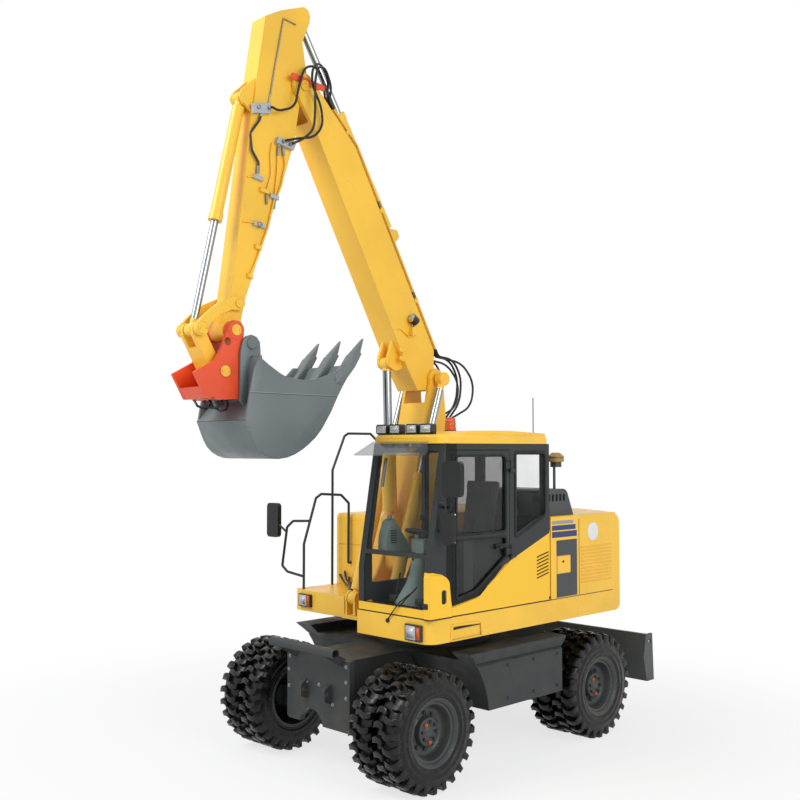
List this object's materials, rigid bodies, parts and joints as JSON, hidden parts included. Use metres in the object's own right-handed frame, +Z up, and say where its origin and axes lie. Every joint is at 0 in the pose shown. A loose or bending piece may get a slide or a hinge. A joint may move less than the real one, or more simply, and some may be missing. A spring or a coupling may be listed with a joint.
{
  "type": "wheeled excavator",
  "caption": "Wheeled excavator with twin tyres, two-piece boom, arm, bucket on a coupler, rear blade and glazed cab.",
  "frame": {"origin": "middle of the machine's bounding box, on the ground", "axes": "+X to the front of the undercarriage and of the boom, +Y to the left side, where the cab is, +Z up"},
  "size_m": [5.332, 3.41, 7.208],
  "materials": {
    "yellow_paint": "gloss",
    "dark_paint": "satin",
    "chassis_paint": "dusty satin",
    "bucket_paint": "satin",
    "coupler_paint": "gloss",
    "rod_chrome": "polished",
    "tyre_rubber": "dusty",
    "hose_rubber": "matt",
    "rim_paint": "satin",
    "glass": "clear",
    "interior": "matt",
    "seat_cloth": "woven",
    "black_plastic": "matt",
    "engine_metal": "cast"
  },
  "bodies": {
    "chassis": {"chassis_frame": "chassis_paint", "front_crossbar": "chassis_paint", "side_boxes": "chassis_paint", "front_axle": "chassis_paint", "rear_axle": "chassis_paint", "driveline": "chassis_paint", "slew_ring": "chassis_paint"},
    "upper_body": {"turntable_frame": "yellow_paint", "deck": "yellow_paint", "counterweight": "yellow_paint", "rear_housing": "yellow_paint", "engine_block": "engine_metal", "right_housing": "yellow_paint", "engine_hood": "dark_paint", "cab_frame": "dark_paint", "cab_glass": "glass", "cab_roof": "yellow_paint", "seat": "seat_cloth", "operator_station": "interior", "handrails": "black_plastic", "mirrors": "black_plastic", "lamps": "black_plastic", "air_cleaner": "black_plastic", "foot_hoses": "hose_rubber"},
    "lower_boom": {"lower_boom": "yellow_paint", "lower_boom_pipes": "black_plastic", "middle_hoses": "hose_rubber"},
    "upper_boom": {"upper_boom": "yellow_paint", "boom_fittings": "black_plastic", "arm_hoses": "hose_rubber"},
    "arm": {"arm": "yellow_paint", "arm_pipes": "black_plastic"},
    "door": {"door": "dark_paint", "door_glass": "glass"},
    "bucket": {"bucket": "bucket_paint", "coupler": "coupler_paint"},
    "wheel_front_left": {"tyres_front_left": "tyre_rubber", "rim_front_left": "rim_paint"},
    "wheel_front_right": {"tyres_front_right": "tyre_rubber", "rim_front_right": "rim_paint"},
    "wheel_rear_left": {"tyres_rear_left": "tyre_rubber", "rim_rear_left": "rim_paint"},
    "wheel_rear_right": {"tyres_rear_right": "tyre_rubber", "rim_rear_right": "rim_paint"},
    "knuckle_left": {"knuckle_left": "chassis_paint"},
    "knuckle_right": {"knuckle_right": "chassis_paint"},
    "blade": {"blade": "chassis_paint"},
    "blade_cylinder_barrels": {"blade_cylinder_barrels": "chassis_paint"},
    "blade_cylinder_rods": {"blade_cylinder_rods": "rod_chrome"},
    "adjust_cylinder_barrel": {"adjust_cylinder_barrel": "yellow_paint"},
    "adjust_cylinder_rod": {"adjust_cylinder_rod": "rod_chrome"},
    "arm_cylinder_barrel": {"arm_cylinder_barrel": "yellow_paint"},
    "arm_cylinder_rod": {"arm_cylinder_rod": "rod_chrome"},
    "bucket_cylinder_barrel": {"bucket_cylinder_barrel": "yellow_paint"},
    "bucket_cylinder_rod": {"bucket_cylinder_rod": "rod_chrome"},
    "boom_cylinder_barrels": {"boom_cylinder_barrels": "yellow_paint"},
    "boom_cylinder_rods": {"boom_cylinder_rods": "rod_chrome"},
    "lever": {"lever": "yellow_paint"},
    "link": {"link": "yellow_paint"}
  },
  "joints": [
    {"name": "slew", "type": "hinge", "parent": "chassis", "child": "upper_body", "pos_m": [-0.376, 0.155, 1.292], "axis": [0, 0, 1], "continuous": true},
    {"name": "roll_front_left", "type": "hinge", "parent": "knuckle_left", "child": "wheel_front_left", "pos_m": [0.889, 1.271, 0.5375], "axis": [0, 1, 0], "continuous": true},
    {"name": "roll_front_right", "type": "hinge", "parent": "knuckle_right", "child": "wheel_front_right", "pos_m": [0.889, -0.961, 0.5375], "axis": [0, 1, 0], "continuous": true},
    {"name": "roll_rear_left", "type": "hinge", "parent": "chassis", "child": "wheel_rear_left", "pos_m": [-1.641, 1.271, 0.5375], "axis": [0, 1, 0], "continuous": true},
    {"name": "roll_rear_right", "type": "hinge", "parent": "chassis", "child": "wheel_rear_right", "pos_m": [-1.641, -0.961, 0.5375], "axis": [0, 1, 0], "continuous": true},
    {"name": "steer_left", "type": "hinge", "parent": "chassis", "child": "knuckle_left", "pos_m": [0.889, 0.855, 0.5375], "axis": [0, 0, 1], "range_deg": [-27, 27]},
    {"name": "steer_right", "type": "hinge", "parent": "chassis", "child": "knuckle_right", "pos_m": [0.889, -0.545, 0.5375], "axis": [0, 0, 1], "range_deg": [-27, 27]},
    {"name": "blade_lift", "type": "hinge", "parent": "chassis", "child": "blade", "pos_m": [-1.876, 0.155, 0.62], "axis": [0, 1, 0], "range_deg": [-37, 10]},
    {"name": "blade_cylinder_barrel_pivot", "type": "hinge", "parent": "chassis", "child": "blade_cylinder_barrels", "pos_m": [-1.896, 0.155, 0.98], "axis": [0, 1, 0], "range_deg": [-22.95, 6.24]},
    {"name": "blade_cylinder_rod_slide", "type": "slide", "parent": "blade_cylinder_barrels", "child": "blade_cylinder_rods", "axis": [-0.7875, 0, -0.6163], "range_m": [-0.0457, 0.1676]},
    {"name": "door_hinge", "type": "hinge", "parent": "upper_body", "child": "door", "pos_m": [-0.151, 1.417, 1.6], "axis": [0, 0, 1], "range_deg": [0, 110]},
    {"name": "boom_lift", "type": "hinge", "parent": "upper_body", "child": "lower_boom", "pos_m": [-0.026, 0.105, 1.85], "axis": [0, -1, 0], "range_deg": [-60, 4], "deforming": ["foot_hoses"]},
    {"name": "boom_cylinder_barrel_pivot", "type": "hinge", "parent": "upper_body", "child": "boom_cylinder_barrels", "pos_m": [0.424, 0.105, 1.5], "axis": [0, -1, 0], "range_deg": [-51.19, 3.46]},
    {"name": "boom_cylinder_rod_slide", "type": "slide", "parent": "boom_cylinder_barrels", "child": "boom_cylinder_rods", "axis": [-0.3131, 0, 0.9497], "range_m": [-0.4703, 0.0318]},
    {"name": "boom_adjust", "type": "hinge", "parent": "lower_boom", "child": "upper_boom", "pos_m": [-0.316, 0.105, 3.745], "axis": [0, -1, 0], "range_deg": [-24, 30], "deforming": ["middle_hoses"]},
    {"name": "adjust_cylinder_barrel_pivot", "type": "hinge", "parent": "lower_boom", "child": "adjust_cylinder_barrel", "pos_m": [0.184, 0.105, 2.3], "axis": [0, -1, 0], "range_deg": [-2.86, 3.56]},
    {"name": "adjust_cylinder_rod_slide", "type": "slide", "parent": "adjust_cylinder_barrel", "child": "adjust_cylinder_rod", "axis": [0.0308, 0, 0.9995], "range_m": [-0.2212, 0.2764]},
    {"name": "arm_swing", "type": "hinge", "parent": "upper_boom", "child": "arm", "pos_m": [1.454, 0.105, 6.43], "axis": [0, 1, 0], "range_deg": [-80, 8], "deforming": ["arm_hoses"]},
    {"name": "arm_cylinder_barrel_pivot", "type": "hinge", "parent": "upper_boom", "child": "arm_cylinder_barrel", "pos_m": [0.194, 0.105, 5.21], "axis": [0, 1, 0], "range_deg": [-12.8, 1.32]},
    {"name": "arm_cylinder_rod_slide", "type": "slide", "parent": "arm_cylinder_barrel", "child": "arm_cylinder_rod", "axis": [0.5394, 0, 0.842], "range_m": [-0.8172, 0.0822]},
    {"name": "bucket_curl", "type": "hinge", "parent": "arm", "child": "bucket", "pos_m": [2.237, 0.105, 4.056], "axis": [0, 1, 0], "range_deg": [-110, 6]},
    {"name": "bucket_cylinder_barrel_pivot", "type": "hinge", "parent": "arm", "child": "bucket_cylinder_barrel", "pos_m": [2.084, 0.105, 6.19], "axis": [0, 1, 0], "range_deg": [-4.39, 0.29]},
    {"name": "bucket_cylinder_rod_slide", "type": "slide", "parent": "bucket_cylinder_barrel", "child": "bucket_cylinder_rod", "axis": [0.2206, 0, -0.9754], "range_m": [-0.6266, 0.0346]},
    {"name": "lever_pivot", "type": "hinge", "parent": "arm", "child": "lever", "pos_m": [2.181, 0.105, 4.299], "axis": [0, 1, 0], "range_deg": [-86.33, 4.76]},
    {"name": "link_pivot", "type": "hinge", "parent": "lever", "child": "link", "pos_m": [2.569, 0.105, 4.046], "axis": [0, 1, 0], "range_deg": [-2.12, 38]}
  ],
  "couplings": [
    {"joint": "steer_right", "follows": "steer_left", "ratio": 1},
    {"joint": "blade_cylinder_barrel_pivot", "follows": "blade_lift", "ratio": 0.619},
    {"joint": "blade_cylinder_rod_slide", "follows": "blade_lift", "m_per_rad": -0.2587},
    {"joint": "boom_cylinder_barrel_pivot", "follows": "boom_lift", "ratio": 0.8524},
    {"joint": "boom_cylinder_rod_slide", "follows": "boom_lift", "m_per_rad": 0.4486},
    {"joint": "adjust_cylinder_barrel_pivot", "follows": "boom_adjust", "ratio": 0.1169},
    {"joint": "adjust_cylinder_rod_slide", "follows": "boom_adjust", "m_per_rad": 0.5269},
    {"joint": "arm_cylinder_barrel_pivot", "follows": "arm_swing", "ratio": 0.1594},
    {"joint": "arm_cylinder_rod_slide", "follows": "arm_swing", "m_per_rad": 0.5849},
    {"joint": "bucket_cylinder_barrel_pivot", "follows": "bucket_curl", "ratio": 0.0395},
    {"joint": "bucket_cylinder_rod_slide", "follows": "bucket_curl", "m_per_rad": 0.3261},
    {"joint": "lever_pivot", "follows": "bucket_curl", "ratio": 0.7844},
    {"joint": "link_pivot", "follows": "bucket_curl", "ratio": -0.345}
  ]
}
